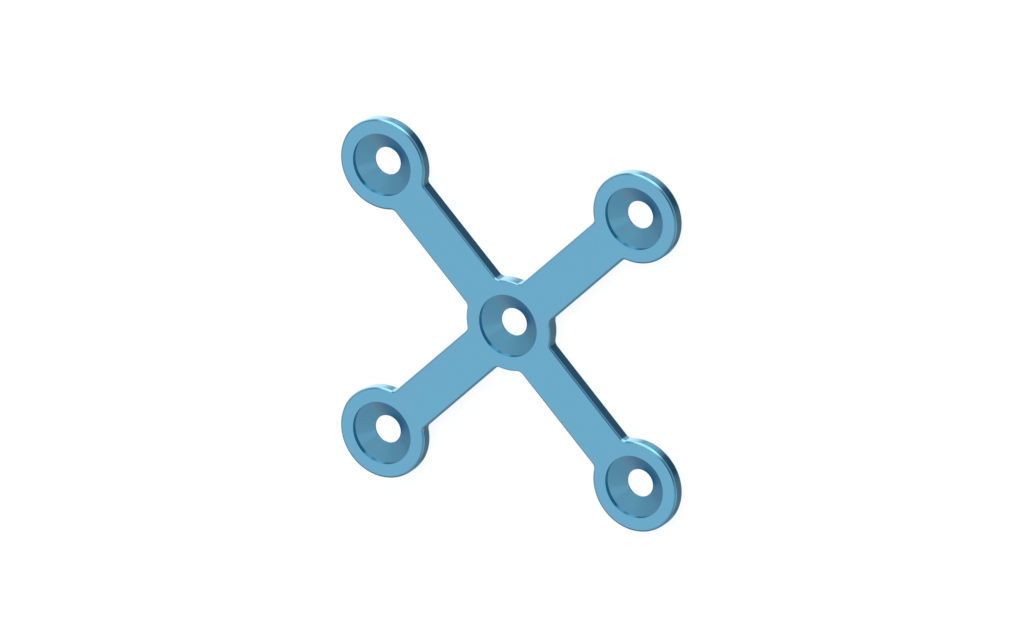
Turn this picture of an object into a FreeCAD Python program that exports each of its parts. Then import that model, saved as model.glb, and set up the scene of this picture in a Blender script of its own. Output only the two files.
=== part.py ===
import FreeCAD, Part
import math
import os

# An X-shaped orthopedic bone plate, one flat piece of titanium. Four straight arms run from a
# round boss to round heads, and the boss and every head hold a countersunk screw hole.
#
# Frame: the plate lies flat in XY with its arms on the diagonals, and +Z points away from the
# bone. The origin is on the axis of the boss's hole, in the plane of the bone side.

# Driving dimensions, in millimetres and degrees.
ARM_COUNT = 4
FIRST_ARM_ANGLE = 45.0
HOLE_PITCH = 14.85
THICKNESS = 1.0
ARM_WIDTH = 3.42
NECK_RADIUS = 0.5
HEAD_EDGE_RADIUS = 0.2
ARM_EDGE_RADIUS = 0.1
BONE_SIDE_CHAMFER = 0.12

# Each hole, from the bone side up: a short straight land, a cone, then a straight seat wall.
# A flat ring is left round every seat, which gives the heads and the boss their size.
HOLE_DIAMETER = 2.1
LAND_HEIGHT = 0.08
SEAT_DIAMETER = 4.8
SEAT_WALL_DEPTH = 0.37
RING_WIDTH = 1.09

# How far a cutting body runs past the face that it cuts.
CUT_OVERRUN = 0.5
# Two heights closer than this are the same.
FLAT = 1e-4

HEAD_RADIUS = SEAT_DIAMETER / 2 + RING_WIDTH
ORIGIN = FreeCAD.Vector(0, 0, 0)
UP = FreeCAD.Vector(0, 0, 1)


def arm_angles():
    return [FIRST_ARM_ANGLE + index * 360.0 / ARM_COUNT for index in range(ARM_COUNT)]


def head_centre(angle):
    return FreeCAD.Rotation(UP, angle).multVec(FreeCAD.Vector(HOLE_PITCH, 0, 0))


def disc(centre, seam_angle):
    """A head or the boss. Its seam is turned into an arm, where it disappears in the union."""
    cylinder = Part.makeCylinder(HEAD_RADIUS, THICKNESS)
    cylinder.rotate(ORIGIN, UP, seam_angle)
    cylinder.translate(centre)
    return cylinder


def bar(angle):
    """The straight part of one arm, from hole axis to hole axis."""
    box = Part.makeBox(HOLE_PITCH, ARM_WIDTH, THICKNESS, FreeCAD.Vector(0, -ARM_WIDTH / 2, 0))
    box.rotate(ORIGIN, UP, angle)
    return box


def sharp_plate():
    """The plan shape at full thickness, with square corners everywhere."""
    boss = disc(ORIGIN, FIRST_ARM_ANGLE)
    pieces = []
    for angle in arm_angles():
        pieces.append(bar(angle))
        pieces.append(disc(head_centre(angle), angle + 180))
    return boss.fuse(pieces).removeSplitter()


def with_necks(solid):
    """Round the inward corners where the arms meet the heads and the boss."""
    corners = [edge for edge in solid.Edges if edge.BoundBox.ZLength > THICKNESS / 2]
    return solid.makeFillet(NECK_RADIUS, corners)


def rim(solid, height):
    """The edges of the outline of the face at that height."""
    return [edge for edge in solid.Edges
            if abs(edge.BoundBox.ZMin - height) + abs(edge.BoundBox.ZMax - height) < FLAT]


def with_chamfer(solid):
    """Break the outer edge of the bone side."""
    return solid.makeChamfer(BONE_SIDE_CHAMFER, rim(solid, 0))


def edge_radius(point):
    """Rounding of the front's outer edge at a point: larger on the heads than on arms and boss."""
    on_head = False
    for angle in arm_angles():
        from_axis = math.hypot(point.x - head_centre(angle).x, point.y - head_centre(angle).y)
        on_head = on_head or from_axis < HEAD_RADIUS + FLAT
    return HEAD_EDGE_RADIUS if on_head else ARM_EDGE_RADIUS


def with_round_edge(solid):
    """Round the outer edge of the front. Along a head's neck the radius changes evenly."""
    document = FreeCAD.newDocument("rounding")
    sharp = document.addObject("Part::Feature", "sharp")
    sharp.Shape = solid
    fillet = document.addObject("Part::Fillet", "fillet")
    fillet.Base = sharp
    front = rim(sharp.Shape, THICKNESS)
    rounds = []
    for number, edge in enumerate(sharp.Shape.Edges, 1):
        if any(edge.isSame(other) for other in front):
            start = edge.firstVertex(True).Point
            end = edge.lastVertex(True).Point
            rounds.append((number, edge_radius(start), edge_radius(end)))
    fillet.Edges = rounds
    document.recompute()
    return fillet.Shape


def hole_cutter():
    """What one countersunk hole takes away, turned about the hole's axis."""
    hole_radius = HOLE_DIAMETER / 2
    seat_radius = SEAT_DIAMETER / 2
    bottom = -CUT_OVERRUN
    top = THICKNESS + CUT_OVERRUN
    profile = [
        (0, bottom),
        (hole_radius, bottom),
        (hole_radius, LAND_HEIGHT),
        (seat_radius, THICKNESS - SEAT_WALL_DEPTH),
        (seat_radius, top),
        (0, top),
        (0, bottom),
    ]
    section = Part.Face(Part.makePolygon([FreeCAD.Vector(radius, 0, z) for radius, z in profile]))
    return section.revolve(ORIGIN, UP, 360)


def bone_plate():
    solid = with_round_edge(with_chamfer(with_necks(sharp_plate())))
    for centre in [ORIGIN] + [head_centre(angle) for angle in arm_angles()]:
        cutter = hole_cutter()
        cutter.translate(centre)
        solid = solid.cut(cutter)
    return solid.Solids[0]


os.makedirs("parts", exist_ok=True)

plate = bone_plate()
plate.exportStep("parts/bone_plate.step")
print("valid", plate.isValid(), "volume", round(plate.Volume, 3), "mm3, head diameter", 2 * HEAD_RADIUS, "mm")
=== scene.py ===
import math

import bpy
from mathutils import Matrix, Vector


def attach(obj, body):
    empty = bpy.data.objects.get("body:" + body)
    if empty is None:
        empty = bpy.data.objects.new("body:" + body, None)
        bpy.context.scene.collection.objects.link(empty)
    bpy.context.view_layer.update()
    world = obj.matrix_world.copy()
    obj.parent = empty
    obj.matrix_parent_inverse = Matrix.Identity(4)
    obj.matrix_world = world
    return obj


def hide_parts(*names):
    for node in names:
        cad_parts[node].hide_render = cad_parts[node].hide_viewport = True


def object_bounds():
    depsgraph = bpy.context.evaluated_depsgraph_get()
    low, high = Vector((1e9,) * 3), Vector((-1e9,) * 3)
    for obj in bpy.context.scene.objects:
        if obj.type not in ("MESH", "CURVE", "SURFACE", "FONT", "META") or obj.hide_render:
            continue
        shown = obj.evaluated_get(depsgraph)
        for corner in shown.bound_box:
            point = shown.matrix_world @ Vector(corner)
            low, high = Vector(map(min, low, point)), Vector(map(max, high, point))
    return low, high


# A blue anodised titanium bone plate, lying flat with its screw seats up.
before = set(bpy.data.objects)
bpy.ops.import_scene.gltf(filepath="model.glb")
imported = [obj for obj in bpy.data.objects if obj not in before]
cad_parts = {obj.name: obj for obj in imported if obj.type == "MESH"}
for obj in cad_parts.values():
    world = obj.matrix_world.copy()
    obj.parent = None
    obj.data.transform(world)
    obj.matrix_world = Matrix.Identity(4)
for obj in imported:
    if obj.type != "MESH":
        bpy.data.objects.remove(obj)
cad_low, cad_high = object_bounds()
MM = 0.001

# The picture, and how the plate stands in it. The view has no perspective.
PICTURE_WIDTH = 1024
PICTURE_HEIGHT = 639
PIXELS_PER_MM = 13.80
CENTRE_PIXEL = (507.39, 325.42)
VIEW_TURN = math.radians(29.47)
VIEW_DROP = math.radians(22.26)
CAMERA_DISTANCE = 0.25
CAMERA_NEAR = 0.01
CAMERA_FAR = 2.0

# The plate's layout. The box of the frame gives the heights of both faces and the holes' places.
ARM_COUNT = 4
HEAD_RADIUS = 3.49 * MM
ARM_WIDTH = 3.42 * MM
NECK_RADIUS = 0.5 * MM
HEAD_ROUND = 0.2 * MM
ARM_ROUND = 0.1 * MM
ARM_BONE_SIDE_ROUND = 0.03 * MM
HOLE_RADIUS = 1.05 * MM
LAND_HEIGHT = 0.08 * MM
SEAT_RADIUS = 2.4 * MM
SEAT_WALL_DEPTH = 0.37 * MM
BONE_SIDE = cad_low.z
FRONT = cad_high.z
HOLE_OFFSET = cad_high.x - HEAD_RADIUS
HOLE_PITCH = HOLE_OFFSET * math.sqrt(2)
BOSS_AXIS = Vector((0, 0, 0))

# A neck is the small round between an arm and a head or the boss. From the axis of the head or the
# boss, its centre lies this far beside the arm's middle line, this far along it, and at this angle.
NECK_BESIDE = ARM_WIDTH / 2 + NECK_RADIUS
NECK_ALONG = math.sqrt((HEAD_RADIUS + NECK_RADIUS) ** 2 - NECK_BESIDE**2)
NECK_ANGLE = math.atan2(NECK_BESIDE, NECK_ALONG)

# How finely the round stretches are divided, and the angle up to which faces are shaded as one.
HEAD_STEPS = 120
BOSS_STEPS = 5
NECK_STEPS = 9
HOLE_STEPS = 128
ROUND_STEPS = 6
SMOOTH_ANGLE = math.radians(30)

# The band inside each rim that its round is cut from, how far a cutter stands out of the plate,
# and how far an edge of the outline is from a seat at least.
RIM_BAND = 0.45 * MM
CUT_OVERRUN = 0.45 * MM
SEAT_GAP = 0.05 * MM

# Corners closer than this are one, and heights closer than this are even. The other two are how
# upright the normal of a level face is at least, and that of a wall at most.
SAME_CORNER = 0.001 * MM
EVEN = 0.0005 * MM
LEVEL_NORMAL = 0.9
WALL_NORMAL = 0.1

# The finish: a blue film that differs a little from patch to patch, over satin metal.
FILM_THIN = (0.158, 0.405, 0.578, 1)
FILM_THICK = (0.148, 0.409, 0.602, 1)
FILM_PATCH = 5 * MM
FILM_DETAIL = 2.0
SATIN = 0.14
GRAIN_SIZE = 0.1 * MM
GRAIN_DETAIL = 1.0
GRAIN_DEPTH = 0.0004 * MM
GRAIN_ROUGHNESS = 0.06
GRAIN_MIDDLE = 0.5

# The faint rings that turning leaves in the seats. The lip is how far inside a seat they start.
RING_SPACING = 0.05 * MM
RING_ROUGHNESS = 0.01
RING_DEPTH = 0.15
SEAT_LIP = 0.01 * MM

# The studio: an even light, and soft lights and cards all round. Each has the way to it, the angles
# from there at which it starts and stops fading, and its colour, which is added to the even light.
# A card's colour is below zero, and it darkens. Another program fitted these numbers to the colours
# of the picture's reflections, all but those of the last two cards.
ROOM_LIGHT = (0.555, 0.601, 0.615)
SOFT_LIGHTS = [
    # Two softboxes at the back, high and low, and a wide one between them.
    ((-0.11, 0.79, 0.60), 4, 34, (1.40, 1.48, 1.10)),
    ((-0.10, 0.93, -0.36), 5, 43, (1.38, 1.34, 1.14)),
    ((0.01, 1.00, -0.05), 30, 38, (1.72, 1.13, 0.88)),
    # A wide one low at the left.
    ((-0.90, 0.08, -0.42), 31, 52, (1.45, 1.11, 0.96)),
    # A narrow card in front of the lights at the back, which leaves them redder there.
    ((-0.22, 0.92, 0.32), 5, 13, (-0.14, -0.91, -0.70)),
    # A soft light low at the right, and a card under the plate.
    ((0.82, -0.53, -0.24), 0, 33, (0.52, 0.50, 0.49)),
    ((0.44, 0.24, -0.87), 5, 23, (-0.47, -0.48, -0.46)),
    # A card beside the camera, and a soft light overhead.
    ((0.54, 0.25, 0.80), 1, 30, (-0.41, -0.45, -0.45)),
    ((-0.30, -0.22, 0.93), 0, 37, (0.44, 0.42, 0.41)),
    # Wide cards low at the left and the right of the front, and a small one under the back.
    ((-0.74, -0.59, -0.32), 11, 71, (-0.63, -0.21, -0.08)),
    ((0.53, -0.62, -0.58), 32, 44, (-0.18, -0.28, -0.30)),
    ((0.11, 0.58, -0.81), 8, 20, (-0.24, -0.26, -0.23)),
    # A warm tint at the left of the front, and a small light straight above.
    ((-0.69, -0.70, -0.18), 13, 73, (0.28, -0.06, -0.12)),
    ((0.22, -0.04, 0.98), 0, 11, (0.10, 0.12, 0.12)),
    # Cards on the horizon, at the back and the left, so that the face isn't white seen from low down.
    ((0.00, 1.00, 0.07), 7, 14, (-2.65, -2.06, -1.70)),
    ((-1.00, 0.00, 0.07), 7, 14, (-0.95, -0.80, -0.72)),
]
WHITE = (1, 1, 1, 1)

# The floor, just under the plate. Other surfaces see a pale matt floor. For the camera it mostly
# glows, so that it is white all over and keeps only a soft shadow.
FLOOR_SIZE = 0.6
FLOOR_GAP = 0.01 * MM
FLOOR_PALE = (0.85, 0.85, 0.85, 1)
FLOOR_SHADED = (0.25, 0.25, 0.25, 1)
FLOOR_GLOW = 0.85


class Value:
    """A shader socket. Arithmetic on it adds Math nodes to the same tree."""

    def __init__(self, tree, socket):
        self.tree = tree
        self.socket = socket

    def math(self, operation, *others):
        return Nodes(self.tree).add(
            "ShaderNodeMath", {"operation": operation}, dict(enumerate((self, *others)))
        ).out()

    def __add__(self, other):
        return self.math("ADD", other)

    def __radd__(self, other):
        return self.math("ADD", other)

    def __sub__(self, other):
        return self.math("SUBTRACT", other)

    def __rsub__(self, other):
        return (self * -1).math("ADD", other)

    def __mul__(self, other):
        return self.math("MULTIPLY", other)

    def __rmul__(self, other):
        return self.math("MULTIPLY", other)


class Placed:
    """A node that is in the tree, with its sockets by name or number."""

    def __init__(self, tree, node):
        self.tree = tree
        self.node = node

    def out(self, name=0):
        return Value(self.tree, self.node.outputs[name])


class Nodes:
    """A node tree that nodes are added to."""

    def __init__(self, tree):
        self.tree = tree

    def add(self, kind, settings=None, inputs=None):
        """One node: its settings first, then the values or links of its sockets."""
        node = self.tree.nodes.new(kind)
        for name, value in (settings or {}).items():
            setattr(node, name, value)
        for name, value in (inputs or {}).items():
            if isinstance(value, Value):
                self.tree.links.new(value.socket, node.inputs[name])
            else:
                node.inputs[name].default_value = value
        return Placed(self.tree, node)


def fresh_tree(owner):
    """The owner's node tree, emptied."""
    owner.use_nodes = True
    owner.node_tree.nodes.clear()
    return Nodes(owner.node_tree)


def make_camera():
    """Look at the plate from its upper right, straight along the view, as the picture does."""
    turn, drop = VIEW_TURN, VIEW_DROP
    right = Vector((math.cos(turn), 0, -math.sin(turn)))
    back = Vector((math.sin(turn) * math.cos(drop), math.sin(drop), math.cos(turn) * math.cos(drop)))
    up = back.cross(right)
    middle = ((PICTURE_WIDTH - 1) / 2, (PICTURE_HEIGHT - 1) / 2)
    pixel = MM / PIXELS_PER_MM
    aim = Vector((0, 0, FRONT))
    aim += right * (middle[0] - CENTRE_PIXEL[0]) * pixel
    aim += up * (CENTRE_PIXEL[1] - middle[1]) * pixel
    data = bpy.data.cameras.new("camera")
    data.type = "ORTHO"
    data.ortho_scale = PICTURE_WIDTH * pixel
    data.clip_start = CAMERA_NEAR
    data.clip_end = CAMERA_FAR
    camera = bpy.data.objects.new("camera", data)
    bpy.context.scene.collection.objects.link(camera)
    axes = Matrix((right, up, back)).transposed()
    camera.matrix_world = Matrix.Translation(aim + back * CAMERA_DISTANCE) @ axes.to_4x4()
    bpy.context.scene.camera = camera


def soft_light(nodes, way, direction, start, stop, colour):
    """The colour that one light or card adds to the even light, seen that way."""
    towards = Vector(direction).normalized()
    nearness = nodes.add(
        "ShaderNodeVectorMath", {"operation": "DOT_PRODUCT"}, {0: way, 1: towards}
    ).out("Value")
    share = nodes.add(
        "ShaderNodeMapRange",
        {"interpolation_type": "SMOOTHERSTEP"},
        {
            "Value": nearness,
            "From Min": math.cos(math.radians(stop)),
            "From Max": math.cos(math.radians(start)),
        },
    ).out()
    return nodes.add(
        "ShaderNodeVectorMath", {"operation": "SCALE"}, {0: colour, "Scale": share}
    ).out()


def light_studio():
    """The world: the studio for the plate, and plain white behind it for the camera."""
    world = bpy.data.worlds.new("studio")
    bpy.context.scene.world = world
    nodes = fresh_tree(world)
    way = nodes.add("ShaderNodeTexCoord").out("Generated")
    glow = nodes.add("ShaderNodeCombineXYZ", None, dict(enumerate(ROOM_LIGHT))).out()
    for light in SOFT_LIGHTS:
        added = soft_light(nodes, way, *light)
        glow = nodes.add("ShaderNodeVectorMath", {"operation": "ADD"}, {0: glow, 1: added}).out()
    lit = nodes.add("ShaderNodeBackground", None, {"Color": glow, "Strength": 1.0}).out()
    white = nodes.add("ShaderNodeBackground", None, {"Color": WHITE, "Strength": 1.0}).out()
    camera_ray = nodes.add("ShaderNodeLightPath").out("Is Camera Ray")
    seen = nodes.add("ShaderNodeMixShader", None, {0: camera_ray, 1: lit, 2: white}).out()
    nodes.add("ShaderNodeOutputWorld", None, {"Surface": seen})


def floor_white():
    """White where the camera sees it, and a little darker in the plate's soft shadow."""
    material = bpy.data.materials.new("floor_white")
    nodes = fresh_tree(material)
    matt = nodes.add("ShaderNodeBsdfDiffuse", None, {"Color": FLOOR_PALE}).out()
    shaded = nodes.add("ShaderNodeBsdfDiffuse", None, {"Color": FLOOR_SHADED}).out()
    glow = nodes.add("ShaderNodeEmission", None, {"Color": WHITE, "Strength": FLOOR_GLOW}).out()
    bright = nodes.add("ShaderNodeAddShader", None, {0: shaded, 1: glow}).out()
    camera_ray = nodes.add("ShaderNodeLightPath").out("Is Camera Ray")
    seen = nodes.add("ShaderNodeMixShader", None, {0: camera_ray, 1: matt, 2: bright}).out()
    nodes.add("ShaderNodeOutputMaterial", None, {"Surface": seen})
    return material


def make_floor():
    bpy.ops.mesh.primitive_plane_add(size=FLOOR_SIZE, location=(0, 0, BONE_SIDE - FLOOR_GAP))
    floor = bpy.context.object
    floor.name = "floor"
    floor.data.materials.append(floor_white())
    # The metal shows the studio all round it, and not the floor, which shades nothing either.
    floor.visible_glossy = False
    floor.visible_shadow = False
    bpy.ops.object.transform_apply(location=True)


def arm_angles():
    return [(2 * index + 1) * math.pi / ARM_COUNT for index in range(ARM_COUNT)]


def turned(angle, along, across=0.0):
    """The point that far along and across a line from the boss's axis at that angle."""
    return Matrix.Rotation(angle, 3, "Z") @ Vector((along, across, 0))


def head_axes():
    return [turned(angle, HOLE_PITCH) for angle in arm_angles()]


def nearest(point, axes):
    """How far the point is from the nearest of those upright axes."""
    return min((Vector((point.x, point.y, 0)) - axis).length for axis in axes)


def pick(piece):
    """Make that piece the only one that operators act on."""
    bpy.ops.object.select_all(action="DESELECT")
    bpy.context.view_layer.objects.active = piece
    piece.select_set(True)


def apply_modifier(piece, kind, settings):
    pick(piece)
    modifier = piece.modifiers.new(kind.lower(), kind)
    for name, value in settings.items():
        setattr(modifier, name, value)
    bpy.ops.object.modifier_apply(modifier=modifier.name)


def single_corner(name, place):
    """A new mesh of one corner, selected in edit mode, for tracing a line from."""
    bpy.ops.object.select_all(action="DESELECT")
    bpy.ops.mesh.primitive_plane_add(size=MM, location=(0, 0, 0))
    piece = bpy.context.object
    piece.name = name
    bpy.ops.object.mode_set(mode="EDIT")
    bpy.ops.mesh.select_mode(type="VERT")
    bpy.ops.mesh.select_all(action="SELECT")
    bpy.ops.mesh.merge(type="CENTER")
    bpy.ops.transform.translate(value=place)
    return piece


def run(way):
    """Trace straight on by that way."""
    bpy.ops.mesh.extrude_region_move(TRANSFORM_OT_translate={"value": way})


def swing(centre, angle, steps):
    """Trace an arc round the centre, anticlockwise seen from the front."""
    bpy.ops.mesh.spin(steps=steps, angle=-angle, center=centre, axis=(0, 0, 1))


def trace_arm(angle):
    """One arm with its head, from the middle of the boss's arc before it to the one after."""
    far_neck = HOLE_PITCH - NECK_ALONG
    boss_turn = math.pi / ARM_COUNT - NECK_ANGLE
    bend = math.pi / 2 - NECK_ANGLE
    swing(BOSS_AXIS, boss_turn, BOSS_STEPS)
    swing(turned(angle, NECK_ALONG, -NECK_BESIDE), -bend, NECK_STEPS)
    run(turned(angle, far_neck - NECK_ALONG))
    swing(turned(angle, far_neck, -NECK_BESIDE), -bend, NECK_STEPS)
    swing(turned(angle, HOLE_PITCH), 2 * (math.pi - NECK_ANGLE), HEAD_STEPS)
    swing(turned(angle, far_neck, NECK_BESIDE), -bend, NECK_STEPS)
    run(turned(angle, NECK_ALONG - far_neck))
    swing(turned(angle, NECK_ALONG, NECK_BESIDE), -bend, NECK_STEPS)
    swing(BOSS_AXIS, boss_turn, BOSS_STEPS)


def inset_face(piece, side):
    """Set a band of faces inside the rim of the level face on that side, 1 for the front."""
    bpy.ops.object.mode_set(mode="OBJECT")
    for face in piece.data.polygons:
        face.select = face.normal.z * side > LEVEL_NORMAL
    bpy.ops.object.mode_set(mode="EDIT")
    bpy.ops.mesh.inset(thickness=RIM_BAND)


def plate_blank():
    """The plan shape, traced round and extruded, with a band of faces inside each rim."""
    piece = single_corner("anodised_plate", (HEAD_RADIUS, 0, BONE_SIDE))
    for angle in arm_angles():
        trace_arm(angle)
    bpy.ops.mesh.select_all(action="SELECT")
    bpy.ops.mesh.remove_doubles(threshold=SAME_CORNER)
    bpy.ops.mesh.edge_face_add()
    run((0, 0, FRONT - BONE_SIDE))
    bpy.ops.mesh.select_all(action="SELECT")
    bpy.ops.mesh.normals_make_consistent(inside=False)
    bpy.ops.mesh.select_mode(type="FACE")
    inset_face(piece, 1)
    inset_face(piece, -1)
    bpy.ops.object.mode_set(mode="OBJECT")
    return piece


def hole_cutter():
    """What a countersunk hole takes away: its half section, spun round the hole's axis."""
    bottom = BONE_SIDE - CUT_OVERRUN
    top = FRONT + CUT_OVERRUN
    section = [
        (0, bottom),
        (HOLE_RADIUS, bottom),
        (HOLE_RADIUS, BONE_SIDE + LAND_HEIGHT),
        (SEAT_RADIUS, FRONT - SEAT_WALL_DEPTH),
        (SEAT_RADIUS, top),
        (0, top),
    ]
    cutter = single_corner("hole_cutter", (0, 0, bottom))
    for (radius, height), (next_radius, next_height) in zip(section, section[1:]):
        run((next_radius - radius, 0, next_height - height))
    bpy.ops.mesh.select_all(action="SELECT")
    swing(BOSS_AXIS, 2 * math.pi, HOLE_STEPS)
    bpy.ops.mesh.select_all(action="SELECT")
    bpy.ops.mesh.remove_doubles(threshold=SAME_CORNER)
    bpy.ops.mesh.normals_make_consistent(inside=False)
    bpy.ops.object.mode_set(mode="OBJECT")
    return cutter


def cut_hole(piece, cutter, place):
    """Take a hole out of the piece at that place, with a copy of the cutter."""
    pick(cutter)
    bpy.ops.object.duplicate()
    copy = bpy.context.object
    bpy.ops.transform.translate(value=place)
    bpy.ops.object.transform_apply()
    apply_modifier(
        piece, "BOOLEAN", {"operation": "DIFFERENCE", "solver": "EXACT", "object": copy}
    )
    bpy.data.objects.remove(copy)


def rounding(point):
    """How large the rim's round is at a point of the outline. It narrows along a head's neck."""
    neck_reach = math.hypot(HOLE_PITCH - NECK_ALONG, ARM_WIDTH / 2)
    share = (neck_reach - nearest(point, head_axes())) / (neck_reach - HEAD_RADIUS)
    share = min(max(share, 0.0), 1.0)
    on_arm = ARM_ROUND if point.z > (BONE_SIDE + FRONT) / 2 else ARM_BONE_SIDE_ROUND
    return on_arm + (HEAD_ROUND - on_arm) * share


def weigh_rims(piece):
    """Mark the outline of both faces for the round, by how large it is there."""
    mesh = piece.data
    walls = set()
    for face in mesh.polygons:
        if abs(face.normal.z) < WALL_NORMAL:
            walls.update(face.edge_keys)
    hole_axes = [BOSS_AXIS] + head_axes()
    weights = mesh.attributes.new("bevel_weight_edge", "FLOAT", "EDGE")
    for edge in mesh.edges:
        one, other = (mesh.vertices[index].co for index in edge.vertices)
        middle = (one + other) / 2
        on_a_face = min(middle.z - BONE_SIDE, FRONT - middle.z) < EVEN
        level = abs(one.z - other.z) < EVEN
        clear_of_seats = nearest(middle, hole_axes) > SEAT_RADIUS + SEAT_GAP
        if edge.key in walls and level and on_a_face and clear_of_seats:
            weights.data[edge.index].value = rounding(middle) / HEAD_ROUND


def model_plate():
    """The plate as one piece: the blank, its five holes, and then the rounds of both rims."""
    piece = plate_blank()
    cutter = hole_cutter()
    for place in [BOSS_AXIS] + head_axes():
        cut_hole(piece, cutter, place)
    bpy.data.objects.remove(cutter)
    bpy.ops.object.shade_smooth_by_angle(angle=SMOOTH_ANGLE)
    weigh_rims(piece)
    apply_modifier(
        piece,
        "BEVEL",
        {
            "width": HEAD_ROUND,
            "segments": ROUND_STEPS,
            "limit_method": "WEIGHT",
            "use_clamp_overlap": False,
            "harden_normals": True,
        },
    )
    return piece


def distance(one, other):
    """The length of a line that goes that far along each of two axes."""
    return (one * one + other * other).math("SQRT")


def anodised_titanium():
    """Satin titanium under a thin blue oxide film. The seats keep faint rings from turning."""
    material = bpy.data.materials.new("anodised_titanium")
    nodes = fresh_tree(material)
    place = nodes.add("ShaderNodeTexCoord").out("Object")
    split = nodes.add("ShaderNodeSeparateXYZ", None, {0: place})
    x, y, z = (split.out(axis) for axis in "XYZ")

    def noise(size, detail):
        inputs = {"Vector": place, "Scale": 1 / size, "Detail": detail}
        return nodes.add("ShaderNodeTexNoise", None, inputs).out("Fac")

    to_head_axis = distance(x.math("ABSOLUTE") - HOLE_OFFSET, y.math("ABSOLUTE") - HOLE_OFFSET)
    to_axis = distance(x, y).math("MINIMUM", to_head_axis)
    sunk = z.math("LESS_THAN", FRONT - SEAT_LIP)
    in_seat = to_axis.math("LESS_THAN", SEAT_RADIUS + SEAT_LIP) * sunk
    rings = (to_axis * (2 * math.pi / RING_SPACING)).math("SINE") * in_seat

    film = noise(FILM_PATCH, FILM_DETAIL)
    grain = noise(GRAIN_SIZE, GRAIN_DETAIL)
    colour = nodes.add(
        "ShaderNodeMix", {"data_type": "RGBA"}, {0: film, 6: FILM_THIN, 7: FILM_THICK}
    ).out(2)
    roughness = SATIN + (grain - GRAIN_MIDDLE) * GRAIN_ROUGHNESS + rings * RING_ROUGHNESS
    relief = grain + rings * RING_DEPTH
    normal = nodes.add(
        "ShaderNodeBump", None, {"Strength": 1.0, "Distance": GRAIN_DEPTH, "Height": relief}
    ).out()
    shader = nodes.add(
        "ShaderNodeBsdfPrincipled",
        None,
        {"Base Color": colour, "Metallic": 1.0, "Roughness": roughness, "Normal": normal},
    ).out()
    nodes.add("ShaderNodeOutputMaterial", None, {"Surface": shader})
    return material


bpy.ops.object.select_all(action="DESELECT")
make_camera()
light_studio()
make_floor()
metal_plate = model_plate()
metal_plate.data.materials.clear()
metal_plate.data.materials.append(anodised_titanium())
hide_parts("bone_plate")
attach(metal_plate, "root")

bpy.context.scene.view_settings.view_transform = "Standard"
